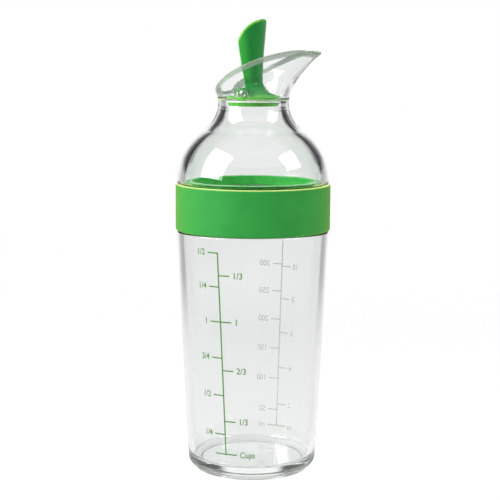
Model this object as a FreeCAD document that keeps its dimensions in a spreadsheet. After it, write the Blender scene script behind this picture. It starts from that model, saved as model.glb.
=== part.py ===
import FreeCAD, Part
import math
import os
from types import SimpleNamespace

import Sketcher

# A clear shaker bottle with a screw lid, a flared pour spout and a lever that tips a stopper disc.
# The bottle stands on its foot at height 0, its axis is Z, and the spout pours towards +X.

SIZES = {
    # General: how far cuts run past what they cut, and the gap between seated faces
    "overrun": 6,
    "seat_gap": 0.05,
    # Bottle: stepped foot, tapered side, shoulder, the step tucked under the grip band, and the neck
    "foot_radius": 28.8,
    "foot_height": 1.2,
    "foot_edge_round": 0.6,
    "foot_recess_step": 3.6,
    "foot_recess_depth": 0.8,
    "base_radius": 32.2,
    "base_height": 5.8,
    "base_round": 4.6,
    "shoulder_radius": 37.8,
    "shoulder_height": 119.6,
    "shoulder_round": 0.8,
    "tuck_step": 1.6,
    "tuck_height": 2.8,
    "tuck_round": 0.5,
    "bottle_wall": 3,
    "floor_height": 5.2,
    "floor_round": 3.4,
    "plate_thickness": 2.2,
    "plate_round": 1.2,
    "neck_step": 4.9,
    "neck_wall": 2.5,
    "neck_length": 20.1,
    "mouth_round": 0.5,
    # Gasket between the bottle's mouth and the lid
    "gasket_thickness": 2,
    "gasket_overlap": 0.4,
    "gasket_side_gap": 0.3,
    # Lid: skirt inside the shoulder's radius, ledge, dome and waist
    "skirt_step": 1.3,
    "skirt_wall": 2.2,
    "skirt_gap": 0.4,
    "ledge_step": 0.6,
    "ledge_thickness": 2.4,
    "flange_rise": 1.4,
    "dome_round": 33.2,
    "lid_wall": 3.8,
    "waist_radius": 17.5,
    "waist_round": 16,
    # Grip band on the skirt
    "band_thickness": 1.95,
    "band_bottom_gap": 0.5,
    "band_top_gap": 0.3,
    "band_round": 0.9,
    # Pivot pin, its bosses in the lid and the access bores outside them
    "pin_rise": 4.6,
    "pin_radius": 1.6,
    "pin_end_gap": 0.1,
    "pin_chamfer": 0.3,
    "pin_fit": 0.03,
    "hub_fit": 0.06,
    "boss_radius": 3.4,
    "boss_proud": 0.05,
    "boss_depth": 2.5,
    "access_radius": 2.15,
    "access_floor": 1.25,
    # Throat: the land that the stopper closes, below the pin
    "land_wall": 3.7,
    "land_top_drop": 3.3,
    "land_length": 3.4,
    "land_lead": 1.5,
    # Spout: sections above the waist, each with what it adds to the waist's radius aside and towards the tip
    "spout_tip_angle": 48,
    "spout_wall": 2.5,
    "spout_front_wall": 3,
    "spout_entry_step": 0.3,
    "collar_rise": 3,
    "collar_spread": 0.4,
    "collar_lead": 0.45,
    "cup_rise": 6.4,
    "cup_spread": 1.4,
    "cup_lead": 1.6,
    "flare_rise": 11.7,
    "flare_spread": 1.8,
    "flare_lead": 4.7,
    "lip_rise": 17.7,
    "lip_spread": 2,
    "lip_lead": 9.9,
    "beak_rise": 24,
    "beak_spread": 2,
    "beak_lead": 17.3,
    "over_rise": 27.5,
    "over_spread": 2,
    "over_lead": 23.1,
    # Rim of the spout, seen from the side: a long arc up to the crest and a short one to the tip.
    # Its three leads count from the waist's radius.
    "rim_back_lead": 6.5,
    "rim_back_rise": 0.2,
    "rim_crest_lead": 5.5,
    "rim_crest_rise": 25.1,
    "rim_front_lead": 24.5,
    "rim_front_rise": 20.8,
    "rim_back_round": 88,
    "rim_front_round": 25,
    "rim_clearance_height": 20,
    "rim_edge_round": 0.7,
    # Stopper: disc under the pin, seal and retainer on the disc's spigot
    "disc_drop": 1.4,
    "disc_thickness": 1.9,
    "disc_gap": 0.3,
    "disc_round": 0.4,
    "spigot_step": 4.5,
    "spigot_length": 2,
    "seal_thickness": 0.8,
    "seal_gap": 0.45,
    "retainer_thickness": 2.2,
    "retainer_gap": 0.8,
    "retainer_taper": 0.8,
    "retainer_dish_step": 6,
    "retainer_dish_depth": 0.6,
    # Lever: hub on the pin and sections of the cupped petal and its flare, heights counted from the pin
    "hub_radius": 3.1,
    "hub_end_gap": 0.45,
    "petal_wall": 2.6,
    "root_rise": -1.9,
    "root_ridge_setback": 0.5,
    "root_edge": 2,
    "root_side_setback": 2.4,
    "flank_rise": 0.3,
    "flank_ridge": 9.7,
    "flank_edge": 0.6,
    "flank_half_width": 9.3,
    "bend_rise": 2.6,
    "bend_ridge": 6.5,
    "bend_edge": -0.6,
    "bend_half_width": 7.8,
    "heel_rise": 5,
    "heel_ridge": 4.5,
    "heel_edge": -1.4,
    "heel_half_width": 6.9,
    "stem_ridge": 4.6,
    "stem_edge": -1.5,
    "stem_half_width": 7,
    "crown_ridge": 6.3,
    "crown_edge": -4.2,
    "crown_half_width": 11.6,
    # Outline of the petal's top, seen from the side: a rounded slope from the back up to the ridge
    "tip_rise": 36.8,
    "crown_over": 2.4,
    "tip_reach": 6.2,
    "slope_reach": 4.6,
    "slope_drop": 12.5,
    "slope_round": 19,
    "tip_edge_round": 0.9,
}

# Share of the petal's wall that is the round of its side edges
EDGE_ROUND_SHARE = 0.55

FLARE_SECTIONS = ("flank", "bend", "heel")

# How far the petal has gone from its stem to its crown at even steps of height: in ridge, edge and half width
PETAL_SHARES = (
    (0, 0, 0),
    (-0.06, 0, 0.02),
    (-0.09, 0.33, 0.48),
    (0.2, 0.63, 0.8),
    (0.59, 0.83, 0.94),
    (1, 1, 1),
)
SPOUT_SECTIONS = ("collar", "cup", "flare", "lip", "beak", "over")


class Size:
    """A length together with the formula that gives it, so that sums of sizes stay bound to the sheet."""

    def __init__(self, value, formula):
        self.value = value
        self.formula = formula

    def joined(self, other, sign, value):
        return Size(value, "(%s %s %s)" % (self.formula, sign, other.formula))

    def __add__(self, other):
        other = as_size(other)
        return self.joined(other, "+", self.value + other.value)

    def __sub__(self, other):
        other = as_size(other)
        return self.joined(other, "-", self.value - other.value)

    def __mul__(self, other):
        other = as_size(other)
        return self.joined(other, "*", self.value * other.value)

    def __truediv__(self, other):
        other = as_size(other)
        return self.joined(other, "/", self.value / other.value)

    def __rmul__(self, other):
        return as_size(other) * self

    def __rsub__(self, other):
        return as_size(other) - self

    def __neg__(self):
        return Size(-self.value, "(-%s)" % self.formula)


def as_size(number):
    """A Size as it is, or a plain number as a Size."""
    return number if isinstance(number, Size) else Size(number, repr(number))


def root_of(square):
    """The square root of a Size."""
    return Size(math.sqrt(square.value), "sqrt(%s)" % square.formula)


def cos_of(angle):
    """The cosine of an angle in degrees."""
    return Size(math.cos(math.radians(angle.value)), "cos(%s)" % angle.formula)


def sin_of(angle):
    """The sine of an angle in degrees."""
    return Size(math.sin(math.radians(angle.value)), "sin(%s)" % angle.formula)


def new_sheet(doc):
    """Write the driving sizes to a sheet and return them by name."""
    sheet = doc.addObject("Spreadsheet::Sheet", "Sizes")
    for row, (alias, number) in enumerate(SIZES.items(), start=1):
        sheet.set("A%d" % row, alias)
        sheet.set("B%d" % row, str(number))
        sheet.setAlias("B%d" % row, alias)
    doc.recompute()
    named = {alias: Size(float(getattr(sheet, alias)), "Sizes." + alias) for alias in SIZES}
    return SimpleNamespace(**named)


def bind(obj, prop, size):
    """Tie a property of an object to the formula of a Size."""
    obj.setExpression(prop, as_size(size).formula)


def new_body(name):
    """An empty body whose label names its file."""
    body = doc.addObject("PartDesign::Body", name)
    body.Label = name
    return body


def new_sketch(body, name, plane, offset=None):
    """A sketch on one of the body's own planes, moved along the plane's normal by an offset."""
    sketch = body.newObject("Sketcher::SketchObject", name)
    support = [item for item in body.Origin.OriginFeatures if item.Role == plane][0]
    sketch.AttachmentSupport = [(support, "")]
    sketch.MapMode = "FlatFace"
    if offset is not None:
        bind(sketch, "AttachmentOffset.Base.z", offset)
        doc.recompute()
    return sketch


def constrain(sketch, kind, *places, size=None):
    """Add a constraint, bound to a size where it has one."""
    if size is None:
        sketch.addConstraint(Sketcher.Constraint(kind, *places))
        return
    index = sketch.addConstraint(Sketcher.Constraint(kind, *places, size.value))
    sketch.setExpression("Constraints[%d]" % index, size.formula)


def hold(sketch, kind, edge, end, size):
    """Fix how far one end of an edge lies from the sketch's origin, across or up."""
    if size.value == 0:
        constrain(sketch, "PointOnObject", edge, end, -2 if kind == "DistanceX" else -1)
    elif size.value > 0:
        constrain(sketch, kind, -1, 1, edge, end, size=size)
    else:
        constrain(sketch, kind, edge, end, -1, 1, size=-size)


def hold_point(sketch, edge, end, point):
    """Fix one end of an edge across and up."""
    hold(sketch, "DistanceX", edge, end, point[0])
    hold(sketch, "DistanceY", edge, end, point[1])


def vector(point):
    """A point of two sizes as a vector of the sketch."""
    return FreeCAD.Vector(point[0].value, point[1].value, 0)


def draw_line(sketch, start, end):
    """Draw a straight edge and return it with its first and last end."""
    return sketch.addGeometry(Part.LineSegment(vector(start), vector(end))), 1, 2


def draw_arc(sketch, start, end, radius, turn):
    """Draw a round edge: a turn of 1 goes anticlockwise round its centre and -1 clockwise.

    The centre lies aside from the middle of the chord, so that both ends are a radius away from it.
    It is held across the chord's longer direction, which keeps it on its own side of the chord.
    """
    across = end[0] - start[0]
    up = end[1] - start[1]
    aside = turn * root_of(radius * radius / (across * across + up * up) - 1 / 4)
    centre = (start[0] + across / 2 - up * aside, start[1] + up / 2 + across * aside)
    first, last = (start, end) if turn > 0 else (end, start)
    angles = [math.atan2(point[1].value - centre[1].value, point[0].value - centre[0].value)
              for point in (first, last)]
    circle = Part.Circle(vector(centre), FreeCAD.Vector(0, 0, 1), radius.value)
    edge = sketch.addGeometry(Part.ArcOfCircle(circle, angles[0], angles[1]))
    if abs(across.value) < abs(up.value):
        hold(sketch, "DistanceX", edge, 3, centre[0])
    else:
        hold(sketch, "DistanceY", edge, 3, centre[1])
    return (edge, 1, 2) if turn > 0 else (edge, 2, 1)


def draw_outline(sketch, corners):
    """Draw a closed outline.

    Each corner is (across, up) and may add (radius, turn): the stretch to the next corner is then an arc.
    """
    points = [(as_size(corner[0]), as_size(corner[1])) for corner in corners]
    following = points[1:] + points[:1]
    edges = []
    for start, end, corner in zip(points, following, corners):
        if len(corner) == 2:
            edges.append(draw_line(sketch, start, end))
        else:
            edges.append(draw_arc(sketch, start, end, corner[2], corner[3]))
    for point, (edge, first, last), (next_edge, begin, _) in zip(points, edges, edges[1:] + edges[:1]):
        constrain(sketch, "Coincident", edge, last, next_edge, begin)
        hold_point(sketch, edge, first, point)


def draw_circle(sketch, across, up, radius):
    """Draw a circle with its centre held at (across, up)."""
    centre = (as_size(across), as_size(up))
    edge = sketch.addGeometry(Part.Circle(vector(centre), FreeCAD.Vector(0, 0, 1), radius.value))
    hold_point(sketch, edge, 3, centre)
    constrain(sketch, "Radius", edge, size=radius)


def revolve(body, name, corners):
    """Turn a closed outline of (radius, height) corners round the body's Z axis."""
    sketch = new_sketch(body, name + "_outline", "XZ_Plane")
    draw_outline(sketch, corners)
    turned = body.newObject("PartDesign::Revolution", name)
    turned.Profile = sketch
    turned.ReferenceAxis = (sketch, ["V_Axis"])
    turned.Angle = 360
    doc.recompute()


def loft(body, name, kind, sketches):
    """Run a smooth skin through a row of sketches, adding or taking away what it holds."""
    skin = body.newObject("PartDesign::%sLoft" % kind, name)
    skin.Profile = sketches[0]
    skin.Sections = sketches[1:]
    doc.recompute()


def cut(body, name, sketch, length, through_both=False, reverse=False):
    """Take a sketch's area away from the body and make sure that it met the solid."""
    before = body.Shape.Volume
    pocket = body.newObject("PartDesign::Pocket", name)
    pocket.Profile = sketch
    pocket.Reversed = reverse
    pocket.Midplane = through_both
    bind(pocket, "Length", length)
    doc.recompute()
    if not body.Shape.Volume < before:
        raise RuntimeError(name + " cuts nothing")


def soften(body, name, edges, radius):
    """Round the named edges of the body's last feature."""
    base = body.Tip
    rounded = body.newObject("PartDesign::Fillet", name)
    rounded.Base = (base, edges)
    bind(rounded, "Radius", radius)
    doc.recompute()


def make_bottle():
    """Clear beaker: stepped foot, rounded base, tapered side, tucked shoulder and flat-mouthed neck."""
    body = new_body("bottle")
    recess_radius = s.foot_radius - s.foot_recess_step
    tuck_radius = s.shoulder_radius - s.tuck_step
    inner_base = s.base_radius - s.bottle_wall
    inner_shoulder = s.shoulder_radius - s.bottle_wall
    plate_height = tuck_top - s.plate_thickness
    revolve(body, "bottle_wall_turned", [
        (0, s.foot_recess_depth),
        (recess_radius, s.foot_recess_depth),
        (recess_radius + s.foot_recess_depth, 0),
        (s.foot_radius - s.foot_edge_round, 0, s.foot_edge_round, 1),
        (s.foot_radius, s.foot_edge_round),
        (s.foot_radius, s.foot_height, s.base_round, 1),
        (s.base_radius, s.base_height),
        (s.shoulder_radius, s.shoulder_height, s.shoulder_round, 1),
        (s.shoulder_radius - s.shoulder_round, shoulder_top),
        (tuck_radius, shoulder_top),
        (tuck_radius, tuck_top - s.tuck_round, s.tuck_round, 1),
        (tuck_radius - s.tuck_round, tuck_top),
        (neck_radius, tuck_top),
        (neck_radius, mouth_height - s.mouth_round, s.mouth_round, 1),
        (neck_radius - s.mouth_round, mouth_height),
        (inner_neck + s.mouth_round, mouth_height, s.mouth_round, 1),
        (inner_neck, mouth_height - s.mouth_round),
        (inner_neck, plate_height + s.plate_round, s.plate_round, 1),
        (inner_neck + s.plate_round, plate_height),
        (inner_shoulder - s.plate_round, plate_height, s.plate_round, -1),
        (inner_shoulder, plate_height - s.plate_round),
        (inner_base, s.floor_height + s.floor_round, s.floor_round, -1),
        (inner_base - s.floor_round, s.floor_height),
        (0, s.floor_height),
    ])
    return body


def make_gasket():
    """Flat silicone ring on the bottle's mouth."""
    body = new_body("lid_gasket")
    inner = inner_neck + s.gasket_overlap
    outer = skirt_inner - s.gasket_side_gap
    revolve(body, "gasket_turned", [
        (inner, gasket_bottom),
        (outer, gasket_bottom),
        (outer, gasket_bottom + s.gasket_thickness),
        (inner, gasket_bottom + s.gasket_thickness),
    ])
    return body


def make_band():
    """Soft sleeve round the skirt, with rounded outer edges."""
    body = new_body("grip_band")
    inner = skirt_radius + s.seat_gap
    outer = inner + s.band_thickness
    bottom = shoulder_top + s.band_bottom_gap
    top = flange_height - s.band_top_gap
    revolve(body, "band_turned", [
        (inner, bottom),
        (outer - s.band_round, bottom, s.band_round, 1),
        (outer, bottom + s.band_round),
        (outer, top - s.band_round, s.band_round, 1),
        (outer - s.band_round, top),
        (inner, top),
    ])
    return body


def egg_outline(half_width, reach):
    """Plan of the spout: half a circle at the back, drawn out by two flank arcs to a rounded tip at +X.

    The flanks leave the half circle in line with it and pass into the tip's arc at the tip angle.
    """
    cosine = cos_of(s.spout_tip_angle)
    sine = sin_of(s.spout_tip_angle)
    shift = (reach - half_width) / (cosine + sine - 1)
    flank = half_width + shift * sine
    tip = flank - shift
    along = shift * cosine + tip * cosine
    aside = tip * sine
    return [
        (-half_width, 0, half_width, 1),
        (0, -half_width, flank, 1),
        (along, -aside, tip, 1),
        (along, aside, flank, 1),
        (0, half_width, half_width, 1),
    ]


def egg_sketch(body, name, height, half_width, reach):
    """One section of the spout at a height."""
    sketch = new_sketch(body, name, "XY_Plane", height)
    draw_outline(sketch, egg_outline(half_width, reach))
    return sketch


def border_edges(shape, rounds):
    """Names of the edges round a trimmed end: those that only one of its cut faces has.

    The cut faces are the cylinders along Y with the radii of the trim.
    """
    trimmed = []
    for face in shape.Faces:
        surface = face.Surface
        if isinstance(surface, Part.Cylinder) and math.isclose(abs(surface.Axis.y), 1):
            if any(math.isclose(surface.Radius, size.value) for size in rounds):
                trimmed.append(face)
    border = []
    for face in trimmed:
        others = [edge for other in trimmed if not other.isSame(face) for edge in other.Edges]
        border += [edge for edge in face.Edges if not any(edge.isSame(other) for other in others)]
    return ["Edge%d" % (place + 1) for place, edge in enumerate(shape.Edges)
            if any(edge.isSame(other) for other in border)]


def make_lid():
    """Clear screw lid: skirt, dome and waist turned in one, with a spout drawn out of the waist."""
    body = new_body("lid_shell")
    ledge_radius = inner_neck + s.ledge_step
    dome_centre = flange_radius - s.dome_round
    joint_share = s.dome_round / (s.dome_round + s.waist_round)
    joint_radius = dome_centre + (waist_centre - dome_centre) * joint_share
    joint_height = flange_height + (waist_height - flange_height) * joint_share
    inner_dome = s.dome_round - s.lid_wall
    inner_waist = s.waist_round + s.lid_wall
    inner_share = inner_dome / (s.dome_round + s.waist_round)
    inner_radius = dome_centre + (waist_centre - dome_centre) * inner_share
    inner_height = flange_height + (waist_height - flange_height) * inner_share
    ledge_top = ledge_height + s.ledge_thickness
    ledge_rise = ledge_top - flange_height
    ledge_outer = dome_centre + root_of(inner_dome * inner_dome - ledge_rise * ledge_rise)
    lead_height = land_bottom - s.land_lead
    lead_drop = waist_height - lead_height
    lead_radius = waist_centre - root_of(inner_waist * inner_waist - lead_drop * lead_drop)
    revolve(body, "lid_turned", [
        (skirt_inner, skirt_bottom),
        (skirt_radius, skirt_bottom),
        (skirt_radius, flange_height),
        (flange_radius, flange_height, s.dome_round, 1),
        (joint_radius, joint_height, s.waist_round, -1),
        (s.waist_radius, waist_height),
        (land_radius, waist_height),
        (land_radius, land_bottom),
        (lead_radius, lead_height, inner_waist, 1),
        (inner_radius, inner_height, inner_dome, -1),
        (ledge_outer, ledge_top),
        (ledge_radius, ledge_top),
        (ledge_radius, ledge_height),
        (skirt_inner, ledge_height),
    ])

    outer = [egg_sketch(body, "spout_waist", waist_height, s.waist_radius, s.waist_radius)]
    entry_radius = land_radius + s.spout_entry_step
    inner = [egg_sketch(body, "spout_entry", land_top, entry_radius, entry_radius)]
    for name in SPOUT_SECTIONS:
        rise, spread, lead = [getattr(s, name + part) for part in ("_rise", "_spread", "_lead")]
        height = waist_height + rise
        half_width = s.waist_radius + spread
        reach = s.waist_radius + lead
        outer.append(egg_sketch(body, name + "_outer", height, half_width, reach))
        inner_half = half_width - s.spout_wall
        inner_reach = reach - s.spout_front_wall
        inner.append(egg_sketch(body, name + "_inner", height, inner_half, inner_reach))
    loft(body, "spout_drawn", "Additive", outer)
    loft(body, "spout_hollow", "Subtractive", inner)

    bore = new_sketch(body, "land_circle", "XY_Plane", waist_height)
    draw_circle(bore, 0, 0, land_radius)
    cut(body, "land_bore", bore, land_top - waist_height + s.seat_gap, reverse=True)

    rim = new_sketch(body, "rim_outline", "XZ_Plane")
    rim_back = waist_height + s.rim_back_rise
    rim_crest = waist_height + s.rim_crest_rise
    rim_front = waist_height + s.rim_front_rise
    rim_top = rim_crest + s.rim_clearance_height
    back_reach = s.waist_radius + s.rim_back_lead
    crest_reach = s.waist_radius + s.rim_crest_lead
    front_reach = s.waist_radius + s.rim_front_lead
    draw_outline(rim, [
        (front_reach, rim_front),
        (front_reach, rim_top),
        (-back_reach, rim_top),
        (-back_reach, rim_back, s.rim_back_round, -1),
        (crest_reach, rim_crest, s.rim_front_round, -1),
    ])
    rim_span = 2 * (s.waist_radius + s.over_spread + s.overrun)
    cut(body, "rim_trim", rim, rim_span, through_both=True)
    rim_edges = border_edges(body.Shape, (s.rim_back_round, s.rim_front_round))
    soften(body, "rim_rounded", rim_edges, s.rim_edge_round)

    boss_outer = boss_inner_reach + s.boss_depth
    for side, sign in (("near", 1), ("far", -1)):
        boss = new_sketch(body, side + "_boss_circle", "XZ_Plane", sign * boss_inner_reach)
        draw_circle(boss, 0, pin_height, s.boss_radius)
        pad = body.newObject("PartDesign::Pad", side + "_boss")
        pad.Profile = boss
        pad.Reversed = sign < 0
        bind(pad, "Length", boss_outer - boss_inner_reach)
        doc.recompute()
    seat = new_sketch(body, "pin_seat_circle", "XZ_Plane")
    draw_circle(seat, 0, pin_height, s.pin_radius + s.pin_fit)
    cut(body, "pin_seats", seat, rim_span, through_both=True)
    for side, sign in (("near", 1), ("far", -1)):
        access = new_sketch(body, side + "_access_circle", "XZ_Plane", sign * access_reach)
        draw_circle(access, 0, pin_height, s.access_radius)
        cut(body, side + "_access", access, s.waist_radius, reverse=sign > 0)
    return body


def make_pin():
    """Steel pivot pin across the throat, with chamfered ends."""
    body = new_body("pivot_pin")
    circle = new_sketch(body, "pin_circle", "XZ_Plane")
    draw_circle(circle, 0, pin_height, s.pin_radius)
    pad = body.newObject("PartDesign::Pad", "pin_bar")
    pad.Profile = circle
    pad.Midplane = True
    bind(pad, "Length", 2 * (access_reach - s.pin_end_gap))
    doc.recompute()
    chamfer = body.newObject("PartDesign::Chamfer", "pin_ends")
    chamfer.Base = (pad, ["Edge%d" % (i + 1) for i, edge in enumerate(pad.Shape.Edges) if edge.isClosed()])
    bind(chamfer, "Size", s.pin_chamfer)
    doc.recompute()
    return body


def crescent_outline(ridge, edge, half_width):
    """Section of the cupped petal: an arc over the ridge, an arc a wall behind it, and round edges."""
    sag = ridge - edge
    outer = (sag * sag + half_width * half_width) / (2 * sag)
    inner_sag = sag - s.petal_wall
    inner_half = half_width - s.petal_wall
    inner = (inner_sag * inner_sag + inner_half * inner_half) / (2 * inner_sag)
    edge_round = EDGE_ROUND_SHARE * s.petal_wall
    return [
        (edge, -half_width, outer, 1),
        (edge, half_width, edge_round, 1),
        (edge, inner_half, inner, -1),
        (edge, -inner_half, edge_round, 1),
    ]


def petal_sizes(name, parts):
    """Named sizes of one section of the petal or of its flare."""
    return [getattr(s, name + part) for part in parts]


def petal_sections():
    """Height, ridge, edge and half width of each section of the petal, at even steps up to above its tip."""
    parts = ("_ridge", "_edge", "_half_width")
    stem = petal_sizes("stem", parts)
    crown = petal_sizes("crown", parts)
    foot = pin_height + s.root_rise
    step = (crown_height - foot) / (len(PETAL_SHARES) - 1)
    for count, shares in enumerate(PETAL_SHARES):
        sizes = [low + (high - low) * share for low, high, share in zip(stem, crown, shares)]
        yield [foot + count * step] + sizes


def flare_sections():
    """Height, ridge, edge and half width of each section of the flare, from the disc up to the stem."""
    ridge = disc_radius - s.root_ridge_setback
    half_width = disc_radius - s.root_side_setback
    yield pin_height + s.root_rise, ridge, s.root_edge, half_width
    for name in FLARE_SECTIONS:
        rise, ridge, edge, half_width = petal_sizes(name, ("_rise", "_ridge", "_edge", "_half_width"))
        yield pin_height + rise, ridge, edge, half_width


def crescent_loft(body, name, sections):
    """Run a skin through crescents at their heights."""
    sketches = []
    for place, (height, ridge, edge, half_width) in enumerate(sections):
        sketch = new_sketch(body, "%s_%d" % (name, place), "XY_Plane", height)
        draw_outline(sketch, crescent_outline(ridge, edge, half_width))
        sketches.append(sketch)
    loft(body, name, "Additive", sketches)


def make_lever():
    """Lever: stopper disc with its spigot, hub on the pin, and a cupped petal that flares out of the disc."""
    body = new_body("pour_lever")
    revolve(body, "disc_turned", [
        (0, disc_bottom - s.spigot_length),
        (spigot_radius, disc_bottom - s.spigot_length),
        (spigot_radius, disc_bottom),
        (disc_radius, disc_bottom),
        (disc_radius, disc_top - s.disc_round, s.disc_round, 1),
        (disc_radius - s.disc_round, disc_top),
        (0, disc_top),
    ])
    crescent_loft(body, "petal", petal_sections())
    crescent_loft(body, "petal_flare", flare_sections())

    tip = pin_height + s.tip_rise
    top = crown_height + s.overrun
    aside = s.crown_half_width + s.overrun
    slope_foot = tip - s.slope_drop
    trim = new_sketch(body, "tip_outline", "XZ_Plane")
    draw_outline(trim, [
        (aside, tip),
        (aside, top),
        (-aside, top),
        (-aside, slope_foot),
        (-s.slope_reach, slope_foot, s.slope_round, -1),
        (s.tip_reach, tip),
    ])
    cut(body, "tip_trim", trim, 2 * aside, through_both=True)
    tip_edges = border_edges(body.Shape, (s.slope_round,))
    soften(body, "tip_rounded", tip_edges, s.tip_edge_round)

    hub = new_sketch(body, "hub_circle", "XZ_Plane")
    draw_circle(hub, 0, pin_height, s.hub_radius)
    pad = body.newObject("PartDesign::Pad", "hub")
    pad.Profile = hub
    pad.Midplane = True
    bind(pad, "Length", 2 * hub_reach)
    doc.recompute()
    bore = new_sketch(body, "hub_bore_circle", "XZ_Plane")
    draw_circle(bore, 0, pin_height, s.pin_radius + s.hub_fit)
    cut(body, "hub_bore", bore, 2 * (hub_reach + s.overrun), through_both=True)
    return body


def make_seal():
    """Silicone ring between the disc and the retainer."""
    body = new_body("stopper_seal")
    top = disc_bottom - s.seat_gap
    inner = spigot_radius + s.seat_gap
    outer = land_radius - s.seal_gap
    revolve(body, "seal_turned", [
        (inner, top - s.seal_thickness),
        (outer, top - s.seal_thickness),
        (outer, top),
        (inner, top),
    ])
    return body


def make_retainer():
    """Plate that holds the seal: it takes the disc's spigot, and its edge tapers to swing clear."""
    body = new_body("seal_retainer")
    top = disc_bottom - s.seal_thickness - 2 * s.seat_gap
    bottom = top - s.retainer_thickness
    pocket = disc_bottom - s.spigot_length - s.seat_gap
    pocket_radius = spigot_radius + s.seat_gap
    outer = land_radius - s.retainer_gap
    dish_radius = outer - s.retainer_dish_step
    revolve(body, "retainer_turned", [
        (0, bottom + s.retainer_dish_depth),
        (dish_radius, bottom + s.retainer_dish_depth),
        (dish_radius + s.retainer_dish_depth, bottom),
        (outer - s.retainer_taper, bottom),
        (outer, top),
        (pocket_radius, top),
        (pocket_radius, pocket),
        (0, pocket),
    ])
    return body


def check(objects, parts):
    """Stop if any object failed or any sub-part is empty or not valid."""
    for item in objects:
        if "Invalid" in item.State or "Error" in item.State:
            raise RuntimeError(item.Name + " failed")
    for part in parts:
        if part.Shape.isNull() or not part.Shape.isValid() or len(part.Shape.Solids) != 1:
            raise RuntimeError(part.Label + " is not one valid solid")


doc = FreeCAD.newDocument("ShakerBottle")
s = new_sheet(doc)

# Heights that pieces share, from the bottle's foot up
shoulder_top = s.shoulder_height + s.shoulder_round
mouth_height = shoulder_top + s.neck_length
gasket_bottom = mouth_height + s.seat_gap
ledge_height = gasket_bottom + s.gasket_thickness + s.seat_gap
tuck_top = shoulder_top + s.tuck_height
skirt_bottom = tuck_top + s.skirt_gap
flange_height = ledge_height + s.flange_rise

# Radii that follow the bottle's shoulder: the lid's flange is flush with it
flange_radius = s.shoulder_radius
neck_radius = s.shoulder_radius - s.neck_step
inner_neck = neck_radius - s.neck_wall
skirt_radius = s.shoulder_radius - s.skirt_step
skirt_inner = skirt_radius - s.skirt_wall

# Radii and reaches that follow the waist
land_radius = s.waist_radius - s.land_wall
disc_radius = land_radius - s.disc_gap
spigot_radius = disc_radius - s.spigot_step
boss_inner_reach = land_radius - s.boss_proud
access_reach = boss_inner_reach + s.access_floor
hub_reach = boss_inner_reach - s.hub_end_gap

# The waist's arc touches the dome's arc from outside, which gives the height of its narrowest place
waist_centre = s.waist_radius + s.waist_round
centre_distance = s.dome_round + s.waist_round
centre_offset = waist_centre - flange_radius + s.dome_round
waist_height = flange_height + root_of(centre_distance * centre_distance - centre_offset * centre_offset)
pin_height = waist_height + s.pin_rise
land_top = pin_height - s.land_top_drop
land_bottom = land_top - s.land_length
disc_top = pin_height - s.disc_drop
disc_bottom = disc_top - s.disc_thickness
crown_height = pin_height + s.tip_rise + s.crown_over

MAKERS = (make_bottle, make_gasket, make_lid, make_band, make_pin, make_lever, make_seal, make_retainer)
pieces = [make() for make in MAKERS]
doc.recompute()
check(doc.Objects, pieces)

os.makedirs("parts", exist_ok=True)
for piece in pieces:
    piece.Shape.exportStep("parts/%s.step" % piece.Label)
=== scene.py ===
import math
from collections import namedtuple

import bpy
import numpy as np
from mathutils import Matrix, Vector


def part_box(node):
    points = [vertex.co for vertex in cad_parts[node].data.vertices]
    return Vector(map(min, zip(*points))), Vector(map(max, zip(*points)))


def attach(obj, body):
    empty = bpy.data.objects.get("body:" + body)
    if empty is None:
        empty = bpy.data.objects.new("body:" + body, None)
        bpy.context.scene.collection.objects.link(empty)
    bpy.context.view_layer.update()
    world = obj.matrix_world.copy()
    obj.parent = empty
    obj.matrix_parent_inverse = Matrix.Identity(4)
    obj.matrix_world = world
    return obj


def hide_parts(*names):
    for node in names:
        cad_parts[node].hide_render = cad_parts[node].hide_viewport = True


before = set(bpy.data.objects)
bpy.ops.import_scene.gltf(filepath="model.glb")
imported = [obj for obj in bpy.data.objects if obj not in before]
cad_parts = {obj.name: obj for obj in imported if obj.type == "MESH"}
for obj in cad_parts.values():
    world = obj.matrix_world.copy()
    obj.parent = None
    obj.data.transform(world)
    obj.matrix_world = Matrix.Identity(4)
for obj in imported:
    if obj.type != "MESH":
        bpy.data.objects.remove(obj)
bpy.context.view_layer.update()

MM = 0.001


def node_box(name):
    """Lowest and highest corner of a CAD node, in millimetres to the third decimal."""
    return [[round(value / MM, 3) for value in corner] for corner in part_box(name)]


# Camera of the photograph: it looks along +Y turned a little, from the spout's side
IMAGE_WIDTH = 500
FOCAL_PIXELS = 1359
SENSOR = 36.0
CLIP_START = 10 * MM
VIEW_TURN = math.radians(22)
VIEW_DIP = math.radians(7.88)
VIEW_ROLL = math.radians(0.28)
CAMERA_DISTANCE = 674.6 * MM
CAMERA_HEIGHT = 203.7 * MM
CAMERA_ASIDE = -1.35 * MM

UP = Vector((0, 0, 1))
RIGHT = Vector((math.cos(VIEW_TURN), math.sin(VIEW_TURN), 0))
AWAY = Vector((-math.sin(VIEW_TURN), math.cos(VIEW_TURN), 0))


def add_object(name, data):
    """Links a new object to the scene and returns it."""
    made = bpy.data.objects.new(name, data)
    bpy.context.scene.collection.objects.link(made)
    return made


def turned(right, up, back):
    """Rotation whose local X, Y and Z axes are these three directions."""
    return Matrix((right, up, back)).transposed().to_euler()


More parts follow.
